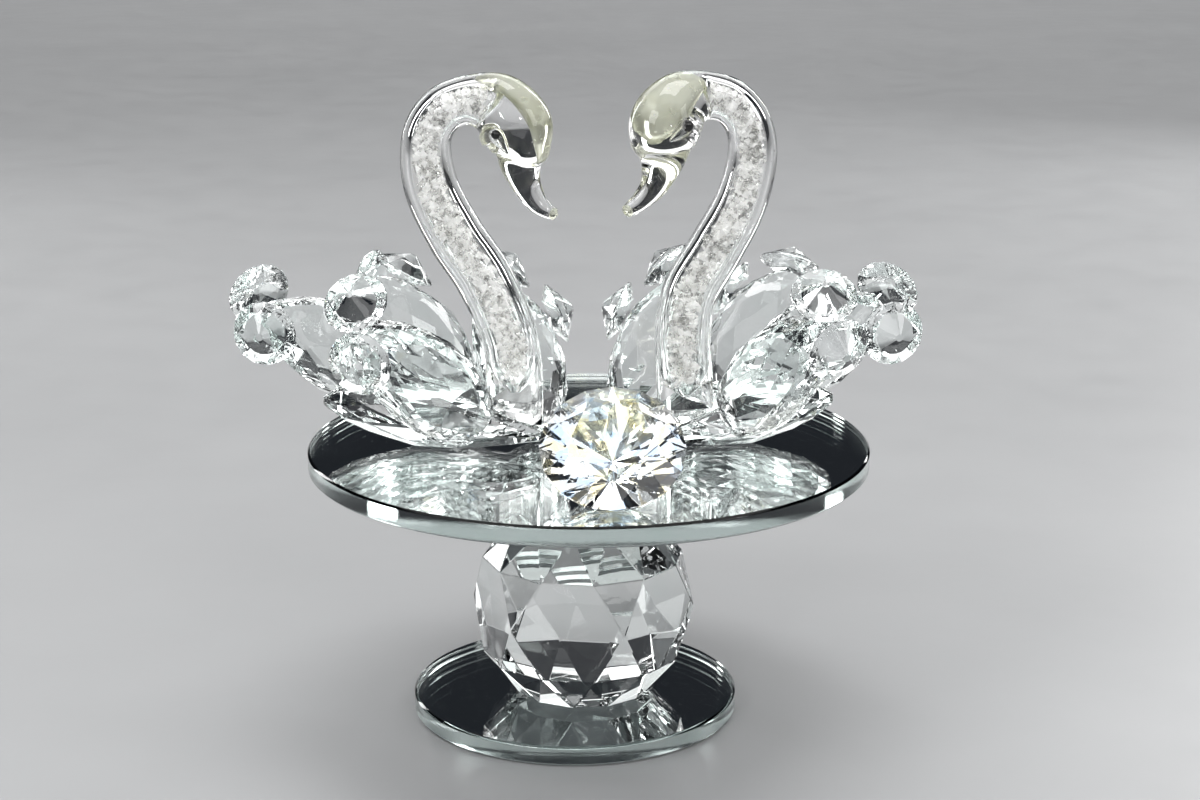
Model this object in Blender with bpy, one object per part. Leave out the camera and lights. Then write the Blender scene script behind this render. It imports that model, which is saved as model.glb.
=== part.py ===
"""Two crystal swans facing each other on a round mirror plate, carried by a cut ball on a mirror base.

Lengths are in millimetres until solid() turns them into metres. +X is the viewer's right,
+Y is away from the viewer and +Z is up, and the origin is the middle of the base's underside.
"""

import math

import bmesh
import bpy
from mathutils import Matrix, Vector

METRES_PER_MM = 0.001
GLUE = 0.3

# Base, ball and plate
DISC_SIDES = 72
DISC_ARRIS = 0.5
BASE_RADIUS = 36.2
BASE_THICKNESS = 4.4
PLATE_RADIUS = 61.5
PLATE_THICKNESS = 4.4
PLATE_X = 3.2

BALL_RADIUS = 25.0
BALL_X = 1.8
BALL_TURN = -8.4
BALL_INNER_LATITUDE = 26.3
BALL_OUTER_LATITUDE = 52.0
BALL_NECK_RADIUS = 9.5
BALL_NECK_HEIGHT = 12.6
BALL_SHOULDER = 3.0

# The front diamond lies on its pavilion with the table up and towards the viewer
DIAMOND_DIAMETER = 30.0
DIAMOND_CROWN = 4.6
DIAMOND_PAVILION = 12.8
DIAMOND_TABLE = 16.5
DIAMOND_GIRDLE = 0.5
DIAMOND_X = 8.2
DIAMOND_FROM_RIM = 21.5
DIAMOND_TILT = 41.0
DIAMOND_LAND = 0.5

# Small stones glued to the leaf tips
STONE_DIAMETER = 14.0
STONE_CROWN = 2.0
STONE_PAVILION = 4.4
STONE_TABLE = 7.6
STONE_GIRDLE = 0.35
STONE_LAND = 0.7
STONE_OVERHANG = 5.3

# Leaves: wings, back and tail are the same flattened almond
LEAF_WIDTH = 20.0
LEAF_THICKNESS = 9.5
LEAF_SIDES = 12
LEAF_TABLE = 0.70
LEAF_SECTIONS = (
    # share of the length from the root, share of the width and thickness
    (0.0, 0.30),
    (0.08, 0.56),
    (0.20, 0.80),
    (0.36, 0.97),
    (0.52, 1.0),
    (0.68, 0.90),
    (0.82, 0.70),
    (0.93, 0.44),
    (1.0, 0.22),
)

# Body of each swan
SEAT_LAND = 1.2
BODY_WIDTH = 21.0
BODY_HEIGHT = 14.4
BODY_SIDES = 10
BODY_SECTIONS = (
    # share of the length from the breast, underside and top as shares of the height, share of the width
    (0.0, 0.18, 0.36, 0.50),
    (0.14, 0.09, 0.58, 0.78),
    (0.36, 0.0, 0.83, 1.0),
    (0.58, 0.0, 0.97, 0.95),
    (0.78, 0.17, 1.0, 0.80),
    (0.90, 0.31, 0.99, 0.60),
    (1.0, 0.51, 0.83, 0.34),
)

# Neck, head and beak of each swan are one lampworked tube
NECK_RADIUS = 6.2
NECK_SIDES = 16
NECK_STEPS = 4

# Places in the tables of the swans are in hundredths of this length
SWAN_LENGTH = 100.0

GLASS = (0.86, 0.90, 0.90, 1.0)
MIRROR = (0.62, 0.66, 0.66, 1.0)

BASE_TOP = BASE_THICKNESS
BALL_FLAT = BALL_RADIUS * math.sin(math.radians(BALL_OUTER_LATITUDE))
BALL_Z = BASE_TOP + GLUE + BALL_FLAT
PLATE_UNDERSIDE = BALL_Z + BALL_FLAT + BALL_NECK_HEIGHT + GLUE
PLATE_TOP = PLATE_UNDERSIDE + PLATE_THICKNESS
DIAMOND_Y = DIAMOND_FROM_RIM - PLATE_RADIUS

# Each place is x, y and height above the plate. "seat" is where the neck stands on the body and the way
# that ground spot looks. A leaf has its root, its tip, the way its broad face looks and the way the body's
# ground spot under its root looks. A stone has its centre and its outward axis. A row of "neck" is a place
# with the share of the neck's radius and the flatness there.
LEFT = {
    "breast": (-6.6, -8.0),
    "rump": (-54.0, 1.0),
    "seat": ((-12.9, -4.0, 7.6), (0.40, 0.0, 0.92)),
    "neck": (
        (-12.9, -4.0, 0.0, 1.02, 1.0),
        (-13.0, -4.0, 18.1, 1.02, 1.0),
        (-15.0, -4.0, 27.6, 1.03, 1.0),
        (-19.4, -4.0, 37.8, 1.03, 1.0),
        (-25.3, -4.0, 47.0, 1.01, 1.0),
        (-30.2, -4.0, 57.4, 0.96, 1.0),
        (-31.0, -4.0, 67.2, 0.87, 1.0),
        (-27.8, -4.0, 73.2, 0.83, 1.0),
        (-22.2, -4.2, 75.6, 0.85, 1.0),
        (-16.2, -4.6, 74.5, 1.16, 1.0),
        (-12.2, -5.0, 70.2, 1.30, 1.0),
        (-10.9, -5.2, 65.6, 1.04, 0.98),
        (-11.0, -5.3, 62.0, 0.73, 0.94),
        (-9.7, -5.4, 57.6, 0.50, 0.9),
        (-7.4, -5.5, 53.8, 0.36, 0.9),
        (-5.2, -5.5, 52.1, 0.26, 1.0),
        (-3.9, -5.5, 51.6, 0.21, 1.0),
    ),
    "leaves": {
        "near_wing": ((-18.0, -12.0, 5.0), (-44.5, -22.0, 30.5), (0.1, -0.92, 0.35), (-0.1, -0.86, 0.5)),
        "tail": ((-34.0, 1.0, 12.0), (-67.0, -3.0, 30.0), (0.1, -0.92, 0.35), (-0.5, 0.1, 0.86)),
        "back": ((-24.5, 3.5, 8.0), (-45.5, 22.0, 31.5), (0.1, -0.92, 0.35), (0.2, 0.75, 0.63)),
        "far_wing": ((-6.8, 2.4, 2.0), (-18.6, 24.4, 31.0), (0.1, -0.92, 0.35), (0.4, 0.80, 0.45)),
    },
    "stones": {
        "near_wing": (
            ((-45.8, -20.0, 37.6), (-0.22, -0.74, 0.64)),
            ((-43.6, -24.0, 24.0), (-0.28, -0.95, -0.14)),
        ),
        "tail": (
            ((-71.5, 4.0, 35.5), (-0.52, 0.80, 0.28)),
            ((-69.5, -9.0, 28.5), (-0.16, -0.98, 0.0)),
        ),
        "back": (
            ((-38.5, 21.0, 38.5), (0.50, 0.10, 0.86)),
            ((-52.0, 32.0, 32.0), (-0.84, 0.42, 0.10)),
        ),
        "far_wing": (
            ((-6.0, 20.0, 26.0), (0.92, 0.22, 0.32)),
            ((-24.0, 26.0, 41.0), (0.60, 0.35, 0.72)),
        ),
    },
}

RIGHT = {
    "breast": (14.0, -5.5),
    "rump": (56.0, 3.0),
    "seat": ((24.9, -4.0, 7.0), (-0.36, 0.0, 0.93)),
    "neck": (
        (24.9, -4.0, 0.0, 0.98, 1.0),
        (24.0, -4.0, 15.1, 1.0, 1.0),
        (23.5, -4.0, 25.6, 1.0, 1.0),
        (25.2, -4.0, 34.8, 0.99, 1.0),
        (30.3, -4.0, 43.8, 0.97, 1.0),
        (35.4, -4.0, 53.6, 0.93, 1.0),
        (37.8, -4.0, 63.4, 0.87, 1.0),
        (36.9, -4.0, 70.4, 0.82, 1.0),
        (33.2, -4.6, 75.2, 0.80, 1.0),
        (28.0, -6.2, 76.8, 0.84, 1.0),
        (23.0, -8.6, 75.8, 1.08, 1.0),
        (19.6, -11.6, 72.4, 1.24, 1.0),
        (18.6, -14.0, 68.6, 1.14, 1.0),
        (18.4, -15.8, 64.6, 0.80, 0.96),
        (16.8, -17.8, 60.0, 0.52, 0.9),
        (14.2, -19.2, 57.0, 0.35, 0.9),
        (12.2, -20.2, 55.5, 0.26, 1.0),
        (11.0, -20.8, 54.8, 0.21, 1.0),
    ),
    "leaves": {
        "near_wing": ((32.0, -8.5, 6.5), (52.5, -28.0, 32.5), (-0.2, -0.85, 0.5), (0.2, -0.86, 0.5)),
        "tail": ((38.0, 1.0, 12.0), (66.0, -3.0, 32.0), (-0.1, -0.92, 0.35), (0.5, 0.1, 0.86)),
        "back": ((31.0, 3.5, 8.0), (49.0, 22.0, 33.0), (-0.1, -0.92, 0.35), (-0.2, 0.75, 0.63)),
        "far_wing": ((12.2, 2.0, 2.0), (24.6, 24.0, 32.0), (-0.1, -0.92, 0.35), (-0.4, 0.80, 0.45)),
    },
    "stones": {
        "near_wing": (
            ((52.0, -25.0, 44.0), (0.0, -0.64, 0.77)),
            ((56.0, -34.0, 27.0), (0.44, -0.86, -0.27)),
        ),
        "tail": (
            ((73.0, 4.0, 38.5), (0.46, 0.80, 0.38)),
            ((70.0, -9.0, 26.0), (0.26, -0.97, -0.04)),
        ),
        "back": (
            ((49.5, 25.0, 38.0), (0.25, 0.45, 0.86)),
            ((35.0, 27.0, 33.5), (-0.80, 0.40, 0.45)),
        ),
        "far_wing": (
            ((10.0, 20.0, 28.0), (-0.92, 0.22, 0.32)),
            ((27.0, 26.0, 43.0), (-0.66, 0.36, 0.66)),
        ),
    },
}


def clear_scene():
    for old in list(bpy.data.objects):
        bpy.data.objects.remove(old, do_unlink=True)


def material(name, colour, roughness, metallic):
    made = bpy.data.materials.new(name)
    made.use_nodes = True
    shader = made.node_tree.nodes["Principled BSDF"]
    shader.inputs["Base Color"].default_value = colour
    shader.inputs["Roughness"].default_value = roughness
    shader.inputs["Metallic"].default_value = metallic
    made.diffuse_color = colour
    made.roughness = roughness
    made.metallic = metallic
    return made


def solid(name, mesh, colour=GLASS, roughness=0.05, metallic=0.0, smooth_below=None):
    """Turns a bmesh in millimetres into one named object in metres."""
    bmesh.ops.scale(mesh, vec=Vector((METRES_PER_MM,) * 3), verts=mesh.verts)
    bmesh.ops.recalc_face_normals(mesh, faces=mesh.faces)
    data = bpy.data.meshes.new(name)
    mesh.to_mesh(data)
    mesh.free()
    if smooth_below is not None:
        data.polygons.foreach_set("use_smooth", [True] * len(data.polygons))
        data.set_sharp_from_angle(angle=math.radians(smooth_below))
    obj = bpy.data.objects.new(name, data)
    bpy.context.scene.collection.objects.link(obj)
    data.materials.append(material(name + "_material", colour, roughness, metallic))
    return obj


# Shapes

def ring(radius, height, count, turn=0.0):
    """Points evenly round a circle, the first at the angle turn."""
    steps = [turn + 2 * math.pi * i / count for i in range(count)]
    return [Vector((radius * math.cos(a), radius * math.sin(a), height)) for a in steps]


def hull(points):
    """The cut stone that these corners hold, with each flat facet as one face."""
    mesh = bmesh.new()
    for point in points:
        mesh.verts.new(point)
    made = bmesh.ops.convex_hull(mesh, input=mesh.verts)
    unused = [v for v in made["geom_interior"] + made["geom_unused"] if isinstance(v, bmesh.types.BMVert)]
    bmesh.ops.delete(mesh, geom=list(set(unused)), context="VERTS")
    bmesh.ops.dissolve_limit(mesh, angle_limit=math.radians(0.3), verts=mesh.verts, edges=mesh.edges)
    bmesh.ops.recalc_face_normals(mesh, faces=mesh.faces)
    return mesh


def grind_flat(mesh, point, normal):
    """Cuts away what lies beyond a plane and closes the cut with one flat face."""
    parts = mesh.verts[:] + mesh.edges[:] + mesh.faces[:]
    bmesh.ops.bisect_plane(mesh, geom=parts, plane_co=point, plane_no=normal, clear_outer=True)
    rim = [edge for edge in mesh.edges if edge.is_boundary]
    if rim:
        bmesh.ops.contextual_create(mesh, geom=rim)


def move(mesh, matrix):
    bmesh.ops.transform(mesh, matrix=matrix, verts=mesh.verts)


def reach(mesh, direction):
    """How far the mesh goes along a direction."""
    return max(vert.co.dot(direction) for vert in mesh.verts)


def disc(radius, thickness, centre, underside):
    """A round glass plate with a ground arris along both edges."""
    heights = (
        (radius - DISC_ARRIS, underside),
        (radius, underside + DISC_ARRIS),
        (radius, underside + thickness - DISC_ARRIS),
        (radius - DISC_ARRIS, underside + thickness),
    )
    points = [p + centre for r, z in heights for p in ring(r, z, DISC_SIDES)]
    return hull(points)


def brilliant(diameter, crown, pavilion, table, girdle):
    """A round brilliant about +Z: culet at the top, table at the bottom, girdle at height 0."""
    radius = diameter / 2
    eighth = math.pi / 4
    table_radius = table / 2
    crown_slope = crown / (radius - table_radius * math.cos(eighth / 2))
    star_radius = (radius + table_radius) / 2
    star_height = crown_slope * (radius - star_radius * math.cos(eighth / 2))
    lower_radius = radius * 0.26
    lower_height = pavilion / radius * (radius - lower_radius * math.cos(eighth / 2))
    points = ring(table_radius, -crown, 8, eighth / 2)
    points += ring(star_radius, -min(star_height, crown * 0.72), 8)
    points += ring(radius, -girdle / 2, 16)
    points += ring(radius, girdle / 2, 16)
    points += ring(lower_radius, lower_height, 8)
    points.append(Vector((0, 0, pavilion)))
    return hull(points)


def almond(root, tip, face):
    """A leaf: a flattened almond cut in lozenges, with a flat oval table on the side that looks along face."""
    along = tip - root
    across = along.cross(Vector(face)).normalized()
    out = across.cross(along).normalized()
    points = []
    for number, (share, size) in enumerate(LEAF_SECTIONS):
        turn = math.pi / LEAF_SIDES * (number % 2)
        for point in ring(size / 2, 0, LEAF_SIDES, turn):
            sideways = across * (point.x * LEAF_WIDTH) + out * (point.y * LEAF_THICKNESS)
            points.append(root + along * share + sideways)
    mesh = hull(points)
    grind_flat(mesh, root + out * (LEAF_TABLE * LEAF_THICKNESS / 2), out)
    return mesh


def placed(values):
    """A place of the tables, in millimetres from the middle of the base's underside."""
    x, y, height = values
    return Vector((x, y, height)) * (SWAN_LENGTH / 100) + Vector((0, 0, PLATE_TOP))


def boat(breast, rump):
    """The swan's body: a cut boat that rests on its flat keel and rises towards the rump."""
    front = placed((*breast, 0)) + Vector((0, 0, GLUE))
    along = placed((*rump, 0)) + Vector((0, 0, GLUE)) - front
    across = Vector((-along.y, along.x, 0)).normalized()
    points = []
    for number, (share, low, high, width) in enumerate(BODY_SECTIONS):
        middle = front + along * share
        turn = math.pi / BODY_SIDES * (1 + number % 2)
        for point in ring(1.0, 0, BODY_SIDES, turn):
            height = BODY_HEIGHT * max(low, low + (high - low) * (0.5 + 0.5 * point.y))
            sideways = across * (point.x * width * BODY_WIDTH / 2)
            points.append(middle + sideways + Vector((0, 0, height)))
    return hull(points)


def eased(a, b, c, d, t):
    """A smooth curve from b to c, with a before and d after them."""
    return 0.5 * (2 * b + (c - a) * t + (2 * a - 5 * b + 4 * c - d) * t**2 + (3 * b - a - 3 * c + d) * t**3)


def smooth_path(points):
    """A curve through the points. Each is a tuple of numbers, and every number is eased alike."""
    ends = [points[0], *points, points[-1]]
    made = []
    for four in zip(ends, ends[1:], ends[2:], ends[3:]):
        for step in range(NECK_STEPS):
            made.append([eased(*values, step / NECK_STEPS) for values in zip(*four)])
    made.append(list(points[-1]))
    return made


def tube(points):
    """A swept tube. Each point is x, y, height above the plate, share of the radius and flatness."""
    path = smooth_path(points)
    centres = [placed(values[:3]) for values in path]
    mesh = bmesh.new()
    rows = []
    side = Vector((0, 1, 0))
    for number, (centre, values) in enumerate(zip(centres, path)):
        along = centres[min(number + 1, len(path) - 1)] - centres[max(number - 1, 0)]
        if number == 0:
            along = Vector((0, 0, 1))
        up = along.cross(side).normalized()
        side = up.cross(along).normalized()
        size, flat = values[3] * NECK_RADIUS, values[4]
        row = [centre + side * (p.x * flat) + up * p.y for p in ring(size, 0, NECK_SIDES)]
        rows.append([mesh.verts.new(point) for point in row])
    for row, other in zip(rows, rows[1:]):
        join_rings(mesh, row, other)
    mesh.faces.new(rows[0])
    mesh.faces.new(rows[-1])
    bmesh.ops.recalc_face_normals(mesh, faces=mesh.faces)
    return mesh


def join_rings(mesh, row, other):
    for i, vert in enumerate(row):
        j = (i + 1) % len(row)
        mesh.faces.new((vert, row[j], other[j], other[i]))


# Pieces

def build_base():
    solid("base", disc(BASE_RADIUS, BASE_THICKNESS, Vector((0, 0, 0)), 0.0), MIRROR, 0.08, 0.6)


def build_plate():
    made = disc(PLATE_RADIUS, PLATE_THICKNESS, Vector((PLATE_X, 0, 0)), PLATE_UNDERSIDE)
    solid("plate", made, MIRROR, 0.06, 0.6)


def build_ball():
    """Six upright hexagons round the middle, triangles between, and a short cut neck under the plate."""
    inner = math.radians(BALL_INNER_LATITUDE)
    outer = math.radians(BALL_OUTER_LATITUDE)
    turn = math.radians(BALL_TURN - 90)
    points = ring(BALL_RADIUS, 0, 6, turn + math.pi / 6)
    for side in (-1, 1):
        inner_height = side * BALL_RADIUS * math.sin(inner)
        points += ring(BALL_RADIUS * math.cos(inner), inner_height, 12, turn + math.pi / 12)
        points += ring(BALL_RADIUS * math.cos(outer), side * BALL_FLAT, 12, turn)
    mesh = hull(points)
    top = max(mesh.faces, key=lambda face: face.calc_center_median().z)
    row = list(top.verts)
    mesh.faces.remove(top)
    for height in (BALL_SHOULDER, BALL_NECK_HEIGHT):
        above = []
        for vert in row:
            flat = Vector((vert.co.x, vert.co.y, 0)).normalized() * BALL_NECK_RADIUS
            above.append(mesh.verts.new((flat.x, flat.y, BALL_FLAT + height)))
        join_rings(mesh, row, above)
        row = above
    mesh.faces.new(row)
    move(mesh, Matrix.Translation((BALL_X, 0, BALL_Z)))
    solid("ball", mesh)


def build_diamond():
    """Lies on one side of its pavilion, the table up and towards the viewer."""
    sizes = (DIAMOND_DIAMETER, DIAMOND_CROWN, DIAMOND_PAVILION, DIAMOND_TABLE, DIAMOND_GIRDLE)
    mesh = brilliant(*sizes)
    move(mesh, Matrix.Rotation(math.radians(180 + DIAMOND_TILT), 4, "X") @ Matrix.Rotation(math.pi / 8, 4, "Z"))
    lowest = -reach(mesh, Vector((0, 0, -1)))
    grind_flat(mesh, Vector((0, 0, lowest + DIAMOND_LAND)), Vector((0, 0, -1)))
    rise = PLATE_TOP + GLUE - lowest - DIAMOND_LAND
    move(mesh, Matrix.Translation((DIAMOND_X, DIAMOND_Y, rise)))
    solid("diamond", mesh)


def build_swan(side, swan):
    body = boat(swan["breast"], swan["rump"])
    neck = tube(swan["neck"])
    place, look = swan["seat"]
    look = Vector(look).normalized()
    join_flat(body, neck, placed(place).dot(look), look)
    for leaf, (root, tip, face, look) in swan["leaves"].items():
        mesh = almond(placed(root), placed(tip), face)
        look = Vector(look).normalized()
        join_flat(body, mesh, reach(body, look) - SEAT_LAND, look)
        places = [(placed(centre), Vector(axis).normalized()) for centre, axis in swan["stones"][leaf]]
        lands = [reach(mesh, axis) - STONE_LAND for _, axis in places]
        for number, ((centre, axis), land) in enumerate(zip(places, lands), 1):
            grind_flat(mesh, axis * land, axis)
            solid(f"{side}_{leaf}_stone_{number}", stone_on(mesh, centre, axis))
        solid(f"{side}_{leaf}", mesh)
    solid(f"{side}_body", body)
    solid(f"{side}_neck", neck, smooth_below=40)


def join_flat(lower, upper, height, look):
    """Grinds two pieces flat where they meet, this far along the direction look, with room for glue."""
    grind_flat(lower, look * height, look)
    grind_flat(upper, look * (height + GLUE), -look)


def stone_on(leaf, centre, axis):
    """A stone with its table on the leaf's ground land, as near to centre as leaves enough land under it."""
    stone = brilliant(STONE_DIAMETER, STONE_CROWN, STONE_PAVILION, STONE_TABLE, STONE_GIRDLE)
    spot = max(leaf.faces, key=lambda face: face.calc_center_median().dot(axis)).calc_center_median()
    aside = centre - spot
    aside -= axis * aside.dot(axis)
    if aside.length > STONE_OVERHANG:
        aside = aside.normalized() * STONE_OVERHANG
    middle = spot + aside + axis * (GLUE + STONE_CROWN)
    move(stone, Matrix.Translation(middle) @ axis.to_track_quat("Z", "Y").to_matrix().to_4x4())
    return stone


def build_all():
    clear_scene()
    build_base()
    build_ball()
    build_plate()
    build_diamond()
    build_swan("left", LEFT)
    build_swan("right", RIGHT)


build_all()
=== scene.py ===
"""Looks of the crystal swan figurine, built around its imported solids.

+X right, +Y away, +Z up. The object's lengths are in millimetres until piece() turns them into metres.
The floor, the lights and the camera are in metres.
"""

import math
import random

import bmesh
import bpy
from mathutils import Euler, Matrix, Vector


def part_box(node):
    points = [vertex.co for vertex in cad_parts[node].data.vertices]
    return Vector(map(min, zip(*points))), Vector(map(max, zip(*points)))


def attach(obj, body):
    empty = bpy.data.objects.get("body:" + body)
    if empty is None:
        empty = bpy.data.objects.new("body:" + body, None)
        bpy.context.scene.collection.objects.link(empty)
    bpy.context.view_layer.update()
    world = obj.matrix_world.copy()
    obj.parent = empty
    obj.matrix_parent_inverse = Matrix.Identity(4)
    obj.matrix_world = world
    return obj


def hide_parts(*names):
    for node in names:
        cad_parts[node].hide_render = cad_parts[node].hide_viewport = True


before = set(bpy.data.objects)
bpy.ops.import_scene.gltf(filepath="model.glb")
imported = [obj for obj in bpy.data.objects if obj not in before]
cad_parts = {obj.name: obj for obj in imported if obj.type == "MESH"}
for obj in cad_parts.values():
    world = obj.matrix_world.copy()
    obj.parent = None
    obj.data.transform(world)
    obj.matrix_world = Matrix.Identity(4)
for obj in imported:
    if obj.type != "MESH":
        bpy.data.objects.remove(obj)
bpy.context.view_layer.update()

MM = 0.001
TURN = 2 * math.pi
BODY = "root"
PLATE_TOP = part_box("plate")[1].z / MM
LIFT = Vector((0, 0, PLATE_TOP))

# Discs. ARRIS_PROFILE is the rounded edge as shares of DISC_ARRIS: inwards, and along the height
DISC_SIDES = 160
DISC_ARRIS = 0.5
ARRIS_PROFILE = ((1.0, 0.0), (0.15, 0.7), (0.0, 0.91))
SILVER_LIFT = 0.16
PAINT_THICKNESS = 0.12
PAINT_INSET = 0.1
PAINT_ARRIS = (0.05, 0.04)

# Cut crystals
NOT_CUT = ("base", "plate", "left_neck", "right_neck")
WELD = 0.001
FLAT_WITHIN = math.radians(0.5)
CUT_EDGE = 0.16

# Necks. NECK_RADIUS, GLUE and the swans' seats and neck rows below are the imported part's own sizes
NECK_RADIUS = 6.2
GLUE = 0.3
NECK_SIDES = 40
NECK_STEPS = 10
WALL_EASE = 0.982

# The beak's rounded end: how far each row is pushed forward, and its share of the last row's radius
BEAK_END = ((0.25, 0.85), (0.4, 0.5))
BEAD_STATION = -5
BEAD_RADIUS = 0.95

# The bore: its share of the neck's radius, its lowest height above the plate, and its rounded ends
BORE_SHARE = 0.60
BORE_START = 10.8
BORE_SIDES = 24
BORE_END_STATIONS = 5
BORE_TIP = 0.2

# Chips. CHIP_CLEARANCE is the room to the bore's wall, and CHIP_REACH and CHIP_SKEW shape a chip,
# all as shares of its size. CHIPS_INSET is the number of stations left free at each end of the bore
CHIPS_A_NECK = 1500
CLEAR_CHIPS = 0.5
CHIPS_INSET = 1.2
CHIP_SIZE = (0.6, 1.15)
CHIP_CLEARANCE = 0.9
CHIP_REACH = (0.55, 1.25)
CHIP_SKEW = 0.25
CHIP_AXES = ((1, 0, 0), (0, 1, 0), (-1, 0, 0), (0, -1, 0), (0, 0, 1), (0, 0, -1))

# Eyes, the hollows round them, and the caps in the heads
EYE_DEPTH = 0.75
SOCKET_STEPS = 18
SOCKET_SIDES = 20
SOCKET_LEAN = 0.55
SOCKET_FULLNESS = 0.8
SOCKET_DEPTH = 0.62
CROWN_SIDES = 28
CROWN_TIP = 0.02
CROWN_FULLNESS = 0.5

# Waves that make a melted body uneven. Their starts are spread over about a full turn
WAVES = 4
WAVE_STARTS = 6.28

# Stage, in metres, and the lens in millimetres
FLOOR_CORNERS = ((-6, -4), (6, -4), (6, 8), (-6, 8))
FLOOR_HEIGHT = -0.0002
AIM = (0, 0, 0.08)
CAMERA_PLACE = (0.00565, -0.4872, 0.1995)
CAMERA_TILT = math.radians(75.2)
SENSOR_WIDTH = 36
LENS = 69

# The two swans. Places are x, y and height above the plate. bore_end, chips_end and crown_span count
# in neck rows. A neck row holds a place, the radius as a share of NECK_RADIUS, and the width there as
# a share of the height.
# seat is where the neck stands on the body and the way it faces there. socket is the hollow's two ends
# and its half width. mirror_y is the head's middle. crown_out and crown_half are shares of the radius:
# how far out the cap's middle lies, and its half thickness and half width. outward is the sign that
# turns a station's direction over to the outer side of the neck's bend
LEFT = {
    "seed": 11,
    "seat": ((-12.9, -4.0, 7.6), (0.40, 0.0, 0.92)),
    "bore_end": 9.3,
    "chips_end": 8.9,
    "eye": (-15.9, -11.7, 69.4),
    "eye_size": 1.05,
    "socket": ((-16.6, -10.9, 70.6), (-13.2, -10.1, 65.0), 1.7),
    "mirror_y": -5.0,
    "crown_span": (8.3, 11.5),
    "crown_out": 0.56,
    "crown_half": (0.30, 0.60),
    "outward": 1,
    "neck": (
        (-12.9, -4.0, 0.0, 1.02, 1.0),
        (-13.0, -4.0, 18.1, 1.02, 1.0),
        (-15.0, -4.0, 27.6, 1.03, 1.0),
        (-19.4, -4.0, 37.8, 1.03, 1.0),
        (-25.3, -4.0, 47.0, 1.01, 1.0),
        (-30.2, -4.0, 57.4, 0.96, 1.0),
        (-31.0, -4.0, 67.2, 0.87, 1.0),
        (-27.8, -4.0, 73.2, 0.83, 1.0),
        (-22.2, -4.2, 75.6, 0.85, 1.0),
        (-16.2, -4.6, 74.5, 1.16, 1.0),
        (-12.2, -5.0, 70.2, 1.30, 1.0),
        (-10.9, -5.2, 65.6, 1.04, 0.98),
        (-11.0, -5.3, 62.0, 0.73, 0.94),
        (-9.7, -5.4, 57.6, 0.50, 0.9),
        (-7.4, -5.5, 53.8, 0.36, 0.9),
        (-5.2, -5.5, 52.1, 0.26, 1.0),
        (-3.9, -5.5, 51.6, 0.21, 1.0),
    ),
}

RIGHT = {
    "seed": 23,
    "seat": ((24.9, -4.0, 7.0), (-0.36, 0.0, 0.93)),
    "bore_end": 9.6,
    "chips_end": 9.3,
    "eye": (23.5, -17.8, 72.1),
    "eye_size": 1.3,
    "socket": ((24.5, -16.3, 72.9), (19.6, -19.3, 69.0), 1.8),
    "mirror_y": -11.6,
    "crown_span": (9.35, 12.2),
    "crown_out": 0.34,
    "crown_half": (0.50, 0.68),
    "outward": -1,
    "neck": (
        (24.9, -4.0, 0.0, 0.98, 1.0),
        (24.0, -4.0, 15.1, 1.0, 1.0),
        (23.5, -4.0, 25.6, 1.0, 1.0),
        (25.2, -4.0, 34.8, 0.99, 1.0),
        (30.3, -4.0, 43.8, 0.97, 1.0),
        (35.4, -4.0, 53.6, 0.93, 1.0),
        (37.8, -4.0, 63.4, 0.87, 1.0),
        (36.9, -4.0, 70.4, 0.82, 1.0),
        (33.2, -4.6, 75.2, 0.80, 1.0),
        (28.0, -6.2, 76.8, 0.84, 1.0),
        (23.0, -8.6, 75.8, 1.08, 1.0),
        (19.6, -11.6, 72.4, 1.24, 1.0),
        (18.6, -14.0, 68.6, 1.14, 1.0),
        (18.4, -15.8, 64.6, 0.80, 0.96),
        (16.8, -17.8, 60.0, 0.52, 0.9),
        (14.2, -19.2, 57.0, 0.35, 0.9),
        (12.2, -20.2, 55.5, 0.26, 1.0),
        (11.0, -20.8, 54.8, 0.21, 1.0),
    ),
}


# Materials

class Nodes:
    """A short way to write one material's nodes. Scales are per metre, and bump distances in metres."""

    def __init__(self, name):
        self.made = bpy.data.materials.new(name)
        self.made.use_nodes = True
        self.tree = self.made.node_tree
        self.shader = self.tree.nodes["Principled BSDF"]
        self.place = self.add("ShaderNodeTexCoord").outputs["Object"]

    def add(self, kind):
        return self.tree.nodes.new(kind)

    def link(self, start, end):
        self.tree.links.new(start, end)

    def set(self, **values):
        for key, value in values.items():
            self.shader.inputs[key.replace("_", " ")].default_value = value

    def noise(self, scale, detail, roughness=0.55, stretch=None):
        node = self.add("ShaderNodeTexNoise")
        node.inputs["Scale"].default_value = scale
        node.inputs["Detail"].default_value = detail
        node.inputs["Roughness"].default_value = roughness
        start = self.place
        if stretch:
            mapping = self.add("ShaderNodeMapping")
            mapping.inputs["Scale"].default_value = stretch
            self.link(start, mapping.inputs["Vector"])
            start = mapping.outputs["Vector"]
        self.link(start, node.inputs["Vector"])
        return node.outputs["Fac"]

    def cells(self, scale):
        node = self.add("ShaderNodeTexVoronoi")
        node.inputs["Scale"].default_value = scale
        self.link(self.place, node.inputs["Vector"])
        return node.outputs["Color"]

    def drive(self, key, value, stops):
        """Drives an input of the shader by a ramp, whose stops are a position with a number or a colour."""
        node = self.add("ShaderNodeValToRGB")
        bar = node.color_ramp
        while len(bar.elements) < len(stops):
            bar.elements.new(0.5)
        for element, (at, colour) in zip(bar.elements, stops):
            element.position = at
            element.color = (*colour, 1) if isinstance(colour, tuple) else (colour, colour, colour, 1)
        self.link(value, node.inputs["Fac"])
        self.link(node.outputs["Color"], self.shader.inputs[key])

    def tint(self, value, first, second, start=0.3, end=0.7):
        self.drive("Base Color", value, [(start, first), (end, second)])

    def bump(self, value, strength, distance):
        node = self.add("ShaderNodeBump")
        node.inputs["Strength"].default_value = strength
        node.inputs["Distance"].default_value = distance
        self.link(value, node.inputs["Height"])
        self.link(node.outputs["Normal"], self.shader.inputs["Normal"])


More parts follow.
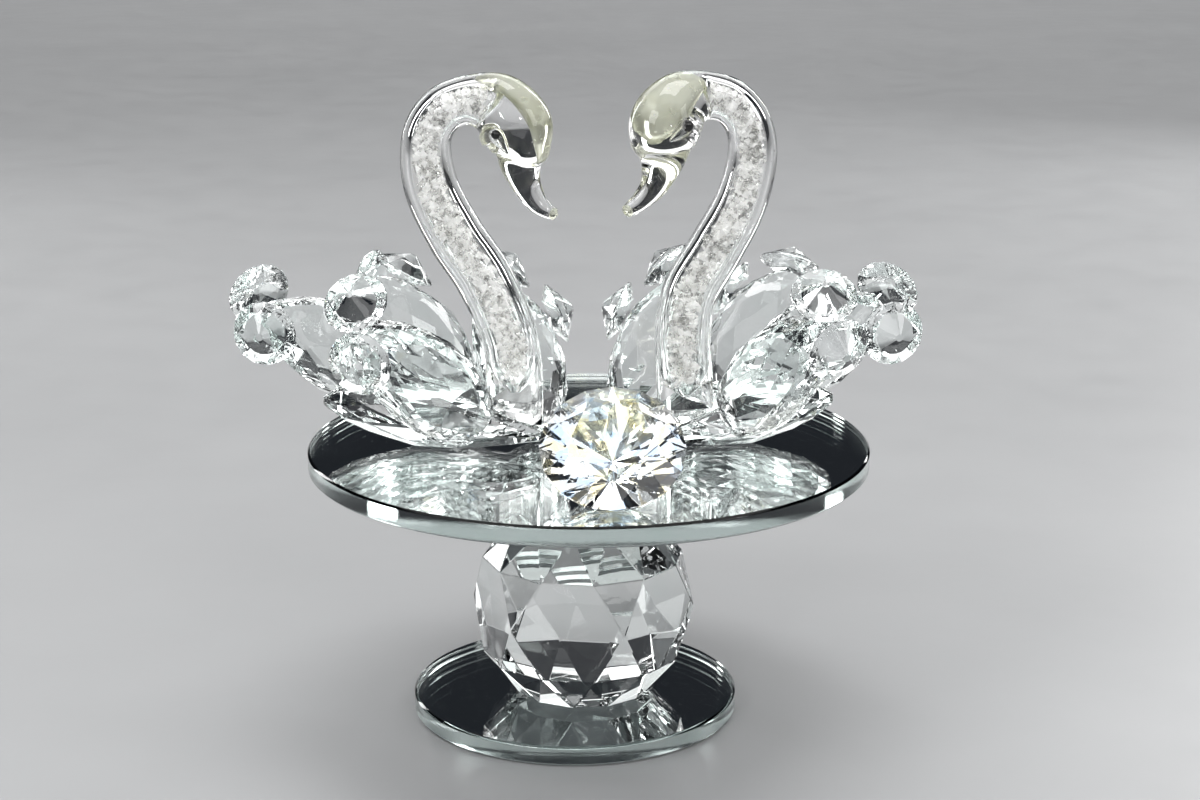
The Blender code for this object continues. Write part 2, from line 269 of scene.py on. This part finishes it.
def cut_crystal():
    look = Nodes("cut_crystal")
    look.set(IOR=1.66, Transmission_Weight=1.0)
    look.tint(look.noise(60, 2), (0.90, 0.945, 0.935), (0.985, 1, 0.995))
    look.drive("Roughness", look.noise(420, 5, 0.7), [(0.45, 0.0), (0.75, 0.035)])
    look.bump(look.noise(260, 2), 0.06, 0.0001)
    return look.made


def lampworked():
    look = Nodes("lampworked_glass")
    look.set(IOR=1.48, Transmission_Weight=1.0)
    look.tint(look.noise(45, 2), (0.975, 0.98, 0.965), (1, 1, 1))
    look.drive("Roughness", look.noise(300, 4, 0.65), [(0.5, 0.0), (0.8, 0.03)])
    look.bump(look.noise(120, 2), 0.25, 0.0004)
    return look.made


def painted_fire_crystal():
    """Clear crystal with painted fire and painted shade: patches of colour and grey in its base colour
    stand in for the colours and greys that a deep cut stone spreads.
    """
    look = Nodes("painted_fire_crystal")
    look.set(IOR=1.6, Transmission_Weight=1.0)
    # Painted fire and painted shade: blue and yellow patches for the stone's fire, greys for its darker
    # facets
    painted_fire_and_shade = [
        (0.10, (0.42, 0.62, 0.95)),
        (0.32, (0.62, 0.65, 0.66)),
        (0.60, (0.86, 0.86, 0.82)),
        (0.82, (0.95, 0.80, 0.42)),
    ]
    look.drive("Base Color", look.cells(330), painted_fire_and_shade)
    look.drive("Roughness", look.noise(420, 5, 0.7), [(0.45, 0.0), (0.75, 0.03)])
    look.bump(look.noise(260, 2), 0.06, 0.0001)
    return look.made


def chip_glass(name, clear, painted_glow=0.0):
    """Broken glass. Its emission is a painted glow that stands in for the light that packed chips hand to
    each other.
    """
    look = Nodes(name)
    look.set(IOR=1.5, Transmission_Weight=clear, Emission_Strength=painted_glow)
    look.tint(look.noise(700, 2), (0.93, 0.93, 0.91), (1, 1, 1))
    look.drive("Roughness", look.noise(1500, 3), [(0.4, 0.0), (0.7, 0.10)])
    look.bump(look.noise(2500, 2), 0.3, 0.0001)
    return look.made


def milky_glass():
    look = Nodes("milky_glass")
    look.set(IOR=1.12, Transmission_Weight=0.66)
    look.tint(look.noise(170, 4, 0.6), (0.88, 0.89, 0.70), (0.99, 1.0, 0.90))
    look.drive("Roughness", look.noise(400, 3), [(0.3, 0.10), (0.7, 0.32)])
    look.bump(look.noise(220, 3), 0.4, 0.0004)
    return look.made


def disc_glass():
    look = Nodes("disc_glass")
    look.set(IOR=1.52, Transmission_Weight=1.0)
    look.tint(look.noise(30, 2), (0.93, 0.975, 0.955), (0.96, 0.99, 0.975))
    look.drive("Roughness", look.noise(900, 4, 0.7), [(0.55, 0.0), (0.8, 0.05)])
    look.bump(look.noise(70, 2), 0.02, 0.0001)
    return look.made


def disc_edge():
    """The ground and polished edge, which shows the glass's green and the marks of the wheel."""
    look = Nodes("disc_edge_glass")
    look.set(IOR=1.52, Transmission_Weight=1.0)
    look.tint(look.noise(200, 3), (0.80, 0.91, 0.87), (0.90, 0.97, 0.95))
    look.drive("Roughness", look.noise(900, 4, 0.7, stretch=(1, 1, 6)), [(0.4, 0.0), (0.8, 0.06)])
    look.bump(look.noise(700, 3, 0.6, stretch=(1, 1, 8)), 0.08, 0.00005)
    return look.made


def silver():
    look = Nodes("silvering")
    look.set(Metallic=1.0)
    look.tint(look.noise(1400, 4, 0.7), (0.80, 0.83, 0.84), (0.93, 0.95, 0.95), end=0.42)
    look.drive("Roughness", look.noise(500, 4, 0.7), [(0.5, 0.01), (0.8, 0.06)])
    look.bump(look.noise(90, 2), 0.02, 0.0001)
    return look.made


def backing_paint():
    look = Nodes("backing_paint")
    look.tint(look.noise(250, 4), (0.16, 0.17, 0.18), (0.24, 0.25, 0.26))
    look.drive("Roughness", look.noise(500, 3), [(0.3, 0.45), (0.7, 0.65)])
    look.bump(look.noise(1500, 3), 0.2, 0.00005)
    return look.made


def eye_glass():
    look = Nodes("eye_glass")
    look.tint(look.noise(900, 2), (0.004, 0.004, 0.005), (0.015, 0.014, 0.013))
    look.drive("Roughness", look.noise(900, 2), [(0.3, 0.05), (0.7, 0.12)])
    look.bump(look.noise(1800, 2), 0.1, 0.00005)
    return look.made


def floor_paint():
    look = Nodes("floor_paint")
    look.tint(look.noise(6, 3), (0.38, 0.385, 0.39), (0.41, 0.415, 0.42))
    look.drive("Roughness", look.noise(40, 3), [(0.3, 0.42), (0.7, 0.5)])
    look.bump(look.noise(900, 3), 0.05, 0.0002)
    return look.made


# Shapes

def piece(name, mesh, *materials, slot=None, stands_for=(), smooth=None):
    """One object that rides on the part's body, from a bmesh in millimetres."""
    bmesh.ops.scale(mesh, vec=Vector((MM, MM, MM)), verts=mesh.verts)
    data = bpy.data.meshes.new(name)
    mesh.to_mesh(data)
    mesh.free()
    for made in materials:
        data.materials.append(made)
    if smooth is not None:
        data.polygons.foreach_set("use_smooth", [True] * len(data.polygons))
        data.set_sharp_from_angle(angle=math.radians(smooth))
    obj = bpy.data.objects.new(name, data)
    bpy.context.scene.collection.objects.link(obj)
    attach(obj, BODY)
    if stands_for:
        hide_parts(*stands_for)


def ring(radius, height, count):
    steps = [TURN * i / count for i in range(count)]
    return [Vector((radius * math.cos(a), radius * math.sin(a), height)) for a in steps]


def join_rings(mesh, row, other, material_index=0):
    for i, vert in enumerate(row):
        j = (i + 1) % len(row)
        face = mesh.faces.new((vert, row[j], other[j], other[i]))
        face.material_index = material_index


def join_rows(mesh, rows):
    for row, other in zip(rows, rows[1:]):
        join_rings(mesh, row, other)


def tube(mesh, rows):
    """The walls along the rows, and a flat face at each end."""
    join_rows(mesh, rows)
    mesh.faces.new(rows[0][::-1])
    mesh.faces.new(rows[-1])


def face_outwards(mesh):
    bmesh.ops.recalc_face_normals(mesh, faces=mesh.faces)


def turned(profile, centre, slots):
    """A turned body from (radius, height) pairs, lowest first. slots is for its bottom, wall and top."""
    mesh = bmesh.new()
    rows = []
    for radius, height in profile:
        rows.append([mesh.verts.new(p + centre) for p in ring(radius, height, DISC_SIDES)])
    bottom = mesh.faces.new(rows[0][::-1])
    top = mesh.faces.new(rows[-1])
    bottom.material_index, wall, top.material_index = slots
    for row, other in zip(rows, rows[1:]):
        join_rings(mesh, row, other, wall)
    return mesh


def disc_pieces(name, looks):
    """A glass disc with its silver on the underside, and the paint that covers the silver."""
    low, high = (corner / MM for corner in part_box(name))
    centre = Vector(((low.x + high.x) / 2, (low.y + high.y) / 2, 0))
    radius = (high.x - low.x) / 2
    floor = low.z + SILVER_LIFT
    lower = [(radius - DISC_ARRIS * inward, floor + DISC_ARRIS * up) for inward, up in ARRIS_PROFILE]
    upper = [(radius - DISC_ARRIS * inward, high.z - DISC_ARRIS * up) for inward, up in ARRIS_PROFILE]
    glass = turned(lower + upper[::-1], centre, (2, 1, 0))
    piece(name + "_glass", glass, looks["disc"], looks["edge"], looks["silver"],
          slot="mirror_glass", stands_for=(name,), smooth=30)
    rim = radius - DISC_ARRIS - PAINT_INSET
    inward, up = PAINT_ARRIS
    profile = [(rim - inward, low.z), (rim, low.z + up), (rim, low.z + PAINT_THICKNESS)]
    paint = turned(profile, centre, (0, 0, 0))
    piece(name + "_paint", paint, looks["paint"], slot="mirror_glass", smooth=30)


def eased(a, b, c, d, t):
    """A smooth curve from b to c, with a before and d after them."""
    return 0.5 * (2 * b + (c - a) * t + (2 * a - 5 * b + 4 * c - d) * t**2 + (3 * b - a - 3 * c + d) * t**3)


def smooth_path(points):
    ends = [points[0], *points, points[-1]]
    made = []
    for four in zip(ends, ends[1:], ends[2:], ends[3:]):
        for step in range(NECK_STEPS):
            made.append([eased(*values, step / NECK_STEPS) for values in zip(*four)])
    made.append(list(points[-1]))
    return made


def stations(points):
    """The neck's cross-sections: centre, directions over and across, radius, flatness, direction along."""
    path = smooth_path(points)
    centres = [Vector((x, y, z + PLATE_TOP)) for x, y, z, _, _ in path]
    side = Vector((0, 1, 0))
    made = []
    for number, (centre, values) in enumerate(zip(centres, path)):
        along = centres[min(number + 1, len(path) - 1)] - centres[max(number - 1, 0)]
        if number == 0:
            along = Vector((0, 0, 1))
        up = along.cross(side).normalized()
        side = up.cross(along).normalized()
        made.append((centre, up, side, values[3] * NECK_RADIUS, values[4], along.normalized()))
    return made


def add_row(mesh, station, scale, forward=0.0, sides=NECK_SIDES):
    centre, up, side, size, flat, along = station
    middle = centre + along * forward
    points = [middle + side * (p.x * flat) + up * p.y for p in ring(size * scale, 0, sides)]
    return [mesh.verts.new(point) for point in points]


def outer_wall(swan, path):
    """The neck, head and beak, cut off a film of glue above the seat on the body."""
    mesh = bmesh.new()
    rows = [add_row(mesh, station, WALL_EASE) for station in path]
    for forward, share in BEAK_END:
        rows.append(add_row(mesh, path[-1], share * WALL_EASE, forward))
    tube(mesh, rows)
    place, look = (Vector(values) for values in swan["seat"])
    look.normalize()
    foot = place + LIFT + look * GLUE
    parts = mesh.verts[:] + mesh.edges[:] + mesh.faces[:]
    bmesh.ops.bisect_plane(mesh, geom=parts, plane_co=foot, plane_no=-look, clear_outer=True)
    rim = [edge for edge in mesh.edges if edge.is_boundary]
    bmesh.ops.contextual_create(mesh, geom=rim)
    face_outwards(mesh)
    return mesh


def bore_stations(path, end):
    last = int(end * NECK_STEPS)
    return [station for station in path[:last] if station[0].z > PLATE_TOP + BORE_START]


def end_share(number, count):
    """Rounds both ends of the bore."""
    near = min(number, count - 1 - number) / BORE_END_STATIONS
    return max(BORE_TIP, math.sqrt(1 - (1 - min(near, 1)) ** 2))


def bore(swan, path):
    mesh = bmesh.new()
    inside = bore_stations(path, swan["bore_end"])
    rows = []
    for number, station in enumerate(inside):
        share = BORE_SHARE * end_share(number, len(inside))
        rows.append(add_row(mesh, station, share, sides=BORE_SIDES))
    tube(mesh, rows)
    face_outwards(mesh)
    return mesh


def mirrored(place, swan):
    """The same place on the other side of the head."""
    x, y, z = place
    return (x, 2 * swan["mirror_y"] - y, z)


def socket(start, end, width, swan):
    """The hollow round an eye: widest near the eye, pointed towards the beak and flat towards the cheek."""
    start = Vector(start)
    end = Vector(end)
    along = (end - start).normalized()
    out = Vector((0, start.y - swan["mirror_y"], 0)).normalized()
    out = (out - along * out.dot(along)).normalized()
    across = along.cross(out)
    mesh = bmesh.new()
    rows = []
    for step in range(1, SOCKET_STEPS):
        share = step / SOCKET_STEPS
        size = width * math.sin(math.pi * share ** SOCKET_LEAN) ** SOCKET_FULLNESS
        middle = start.lerp(end, share) + LIFT
        row = []
        for p in ring(1, 0, SOCKET_SIDES):
            row.append(mesh.verts.new(middle + across * (p.x * size) + out * (p.y * size * SOCKET_DEPTH)))
        rows.append(row)
    tube(mesh, rows)
    face_outwards(mesh)
    return mesh


def add_hollow(mesh, hollow):
    """Adds a closed wall that faces into itself, so that it holds air."""
    bmesh.ops.reverse_faces(hollow, faces=hollow.faces)
    data = bpy.data.meshes.new("hollow")
    hollow.to_mesh(data)
    hollow.free()
    mesh.from_mesh(data)
    bpy.data.meshes.remove(data)


def neck_glass(swan, path):
    """The glass of the neck, head and beak, with the bore and the hollow round each eye."""
    mesh = outer_wall(swan, path)
    start, end, width = swan["socket"]
    add_hollow(mesh, bore(swan, path))
    add_hollow(mesh, socket(start, end, width, swan))
    add_hollow(mesh, socket(mirrored(start, swan), mirrored(end, swan), width, swan))
    return mesh


def chips(swan, path):
    """Broken clear glass packed in the bore: small shards of six corners each."""
    dice = random.Random(swan["seed"])
    mesh = bmesh.new()
    inside = bore_stations(path, swan["chips_end"])
    last = len(inside) - 1
    for _ in range(CHIPS_A_NECK):
        at = dice.uniform(CHIPS_INSET, last - CHIPS_INSET)
        number = int(at)
        centre, up, side, size = inside[number][:4]
        centre = centre.lerp(inside[number + 1][0], at - number)
        grain = dice.uniform(*CHIP_SIZE)
        room = size * BORE_SHARE - grain * CHIP_CLEARANCE
        out = room * math.sqrt(dice.random())
        turn = dice.uniform(0, TURN)
        spot = centre + up * (out * math.cos(turn)) + side * (out * math.sin(turn))
        shard(mesh, dice, spot, grain, int(dice.random() < CLEAR_CHIPS))
    return mesh


def shard(mesh, dice, spot, grain, kind):
    """One chip: an uneven body of eight faces, turned at random."""
    turn = Euler([dice.uniform(0, TURN) for _ in range(3)]).to_matrix()
    reach = [grain * dice.uniform(*CHIP_REACH) for _ in CHIP_AXES]
    skew = [Vector([dice.uniform(-CHIP_SKEW, CHIP_SKEW) * grain for _ in range(3)]) for _ in CHIP_AXES]
    offsets = [Vector(axis) * length + aside for axis, length, aside in zip(CHIP_AXES, reach, skew)]
    corners = [mesh.verts.new(spot + turn @ offset) for offset in offsets]
    for i in range(4):
        j = (i + 1) % 4
        upper = mesh.faces.new((corners[i], corners[j], corners[4]))
        lower = mesh.faces.new((corners[j], corners[i], corners[5]))
        upper.material_index = lower.material_index = kind


def blob(centre, radii, dice, uneven, rings, sides):
    """A rounded, slightly uneven body, as of melted glass."""
    mesh = bmesh.new()
    waves = [(dice.randint(1, 3), dice.uniform(0, WAVE_STARTS), dice.uniform(-1, 1)) for _ in range(WAVES)]
    rows = []
    for i in range(1, rings):
        fall = math.pi * i / rings
        row = []
        for p in ring(math.sin(fall), math.cos(fall), sides):
            around = math.atan2(p.y, p.x)
            lump = sum(a * math.sin(n * around + s + 2 * fall) for n, s, a in waves) * math.sin(fall)
            point = Vector((p.x * radii[0], p.y * radii[1], p.z * radii[2])) * (1 + uneven * lump / 2)
            row.append(mesh.verts.new(centre + point))
        rows.append(row)
    join_rows(mesh, rows)
    for row, height in ((rows[0], 1), (rows[-1], -1)):
        tip = mesh.verts.new(centre + Vector((0, 0, height * radii[2])))
        for i, vert in enumerate(row):
            mesh.faces.new((vert, row[(i + 1) % len(row)], tip))
    face_outwards(mesh)
    return mesh


def crown(swan, path):
    """The milky cap inside the head, from the nape over the top to the root of the beak."""
    first, last = (int(index * NECK_STEPS) for index in swan["crown_span"])
    thick, wide = swan["crown_half"]
    mesh = bmesh.new()
    rows = []
    for number in range(first, last + 1):
        share = min(max((number - first) / (last - first), CROWN_TIP), 1 - CROWN_TIP)
        swell = math.sin(math.pi * share) ** CROWN_FULLNESS
        centre, up, side, size, flat, _ = path[number]
        out = up * (swan["outward"] * size)
        middle = centre + out * swan["crown_out"]
        across = side * (size * flat * wide * swell)
        points = [middle + across * p.x + out * (thick * swell * p.y) for p in ring(1, 0, CROWN_SIDES)]
        rows.append([mesh.verts.new(point) for point in points])
    tube(mesh, rows)
    face_outwards(mesh)
    return mesh


def swan_pieces(side, swan, looks):
    path = stations(swan["neck"])
    slot = "lampworked_glass"
    piece(f"{side}_neck_glass", neck_glass(swan, path), looks["lampworked"],
          slot=slot, stands_for=(f"{side}_neck",), smooth=40)
    piece(f"{side}_neck_chips", chips(swan, path), looks["frosty"], looks["chips"], slot=slot)
    piece(f"{side}_crown", crown(swan, path), looks["milky"], slot=slot, smooth=60)
    dice = random.Random(swan["seed"])
    size = swan["eye_size"]
    for name, spot in (("near", swan["eye"]), ("far", mirrored(swan["eye"], swan))):
        centre = Vector(spot) + LIFT
        ball = blob(centre, (size, size * EYE_DEPTH, size), dice, uneven=0.05, rings=12, sides=16)
        piece(f"{side}_{name}_eye", ball, looks["eye"], slot=slot, smooth=60)
    bead = blob(path[BEAD_STATION][0], (BEAD_RADIUS,) * 3, dice, uneven=0.1, rings=10, sides=14)
    piece(f"{side}_beak_bead", bead, looks["milky"], slot=slot, smooth=60)


def cut_piece(node, source, look):
    """A packed crystal with its facets whole again and its edges just broken, as a polisher leaves them."""
    mesh = bmesh.new()
    mesh.from_mesh(source.data)
    bmesh.ops.scale(mesh, vec=Vector((1, 1, 1)) / MM, verts=mesh.verts)
    bmesh.ops.remove_doubles(mesh, verts=mesh.verts, dist=WELD)
    bmesh.ops.dissolve_limit(mesh, angle_limit=FLAT_WITHIN, verts=mesh.verts, edges=mesh.edges)
    edges = mesh.edges[:]
    bmesh.ops.bevel(mesh, geom=edges, offset=CUT_EDGE, segments=1, affect="EDGES", clamp_overlap=True)
    piece(node + "_cut", mesh, look, slot="clear_crystal", stands_for=(node,))


def crystals(looks):
    """Every cut crystal: all the nodes but the discs and the necks."""
    for node, source in list(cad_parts.items()):
        if node not in NOT_CUT:
            # The diamond gets the crystal with painted fire and painted shade in its base colour
            cut_piece(node, source, looks["painted_fire" if node == "diamond" else "crystal"])


# Stage

def floor():
    mesh = bmesh.new()
    mesh.faces.new([mesh.verts.new((x, y, FLOOR_HEIGHT)) for x, y in FLOOR_CORNERS])
    data = bpy.data.meshes.new("floor")
    mesh.to_mesh(data)
    mesh.free()
    obj = bpy.data.objects.new("floor", data)
    bpy.context.scene.collection.objects.link(obj)
    data.materials.append(floor_paint())


def ambient():
    """Faint light from all sides."""
    world = bpy.data.worlds.new("studio")
    bpy.context.scene.world = world
    world.use_nodes = True
    shade = world.node_tree.nodes["Background"]
    shade.inputs["Color"].default_value = (0.016, 0.018, 0.022, 1)
    shade.inputs["Strength"].default_value = 1.0


def softbox(name, place, aim, width, height, power):
    """A rectangular light at place that faces aim, in metres and watts."""
    data = bpy.data.lights.new(name, "AREA")
    data.shape = "RECTANGLE"
    data.size = width
    data.size_y = height
    data.energy = power
    obj = bpy.data.objects.new(name, data)
    obj.location = place
    obj.rotation_euler = (Vector(aim) - Vector(place)).to_track_quat("-Z", "Y").to_euler()
    bpy.context.scene.collection.objects.link(obj)


def lights():
    """Two wide lights for the floor, and smaller ones for the crystals."""
    softbox("ceiling", (0, 2.2, 3.2), (0, 2.2, 0), 6.0, 7.0, 96)
    softbox("wash", (0, 2.3, 1.5), (0, 2.3, 0), 3.6, 1.8, 27)
    softbox("front", (0.25, -1.5, 0.9), AIM, 2.4, 1.0, 13)
    softbox("key", (-0.55, -0.55, 0.75), AIM, 0.40, 0.40, 3)
    softbox("fill", (0.75, -0.35, 0.45), AIM, 0.25, 0.6, 1.7)
    softbox("top", (0.05, 0.10, 0.85), AIM, 0.5, 0.3, 2.6)
    softbox("rim", (0.45, 0.75, 0.40), AIM, 0.12, 0.5, 1.3)
    softbox("back", (-0.6, 0.6, 0.35), AIM, 0.12, 0.5, 1.3)
    softbox("spark_left", (-0.28, -0.62, 0.30), AIM, 0.05, 0.05, 0.35)
    softbox("spark_right", (0.30, -0.66, 0.42), AIM, 0.05, 0.05, 0.35)


def camera():
    data = bpy.data.cameras.new("camera")
    data.sensor_width = SENSOR_WIDTH
    data.lens = LENS
    data.clip_start = 0.01
    obj = bpy.data.objects.new("camera", data)
    obj.location = CAMERA_PLACE
    obj.rotation_euler = (CAMERA_TILT, 0, 0)
    bpy.context.scene.collection.objects.link(obj)
    bpy.context.scene.camera = obj


def rays():
    """Enough bounces for light to pass through several crystals in a row."""
    cycles = bpy.context.scene.cycles
    cycles.max_bounces = 22
    cycles.transmission_bounces = 22
    cycles.glossy_bounces = 10
    cycles.sample_clamp_indirect = 10
    cycles.blur_glossy = 0.3
    bpy.context.scene.view_settings.view_transform = "Standard"


def main():
    camera()
    floor()
    ambient()
    lights()
    rays()
    looks = {
        "disc": disc_glass(),
        "edge": disc_edge(),
        "silver": silver(),
        "paint": backing_paint(),
        "lampworked": lampworked(),
        "milky": milky_glass(),
        "eye": eye_glass(),
        "chips": chip_glass("chip_glass", 0.95),
        # The frosty chips carry a painted glow: emission in place of light passed on between packed chips
        "frosty": chip_glass("frosty_chip_glass_painted_glow", 0.25, painted_glow=0.17),
        "crystal": cut_crystal(),
        "painted_fire": painted_fire_crystal(),
    }
    crystals(looks)
    disc_pieces("base", looks)
    disc_pieces("plate", looks)
    swan_pieces("left", LEFT, looks)
    swan_pieces("right", RIGHT, looks)
    bpy.context.view_layer.update()


main()
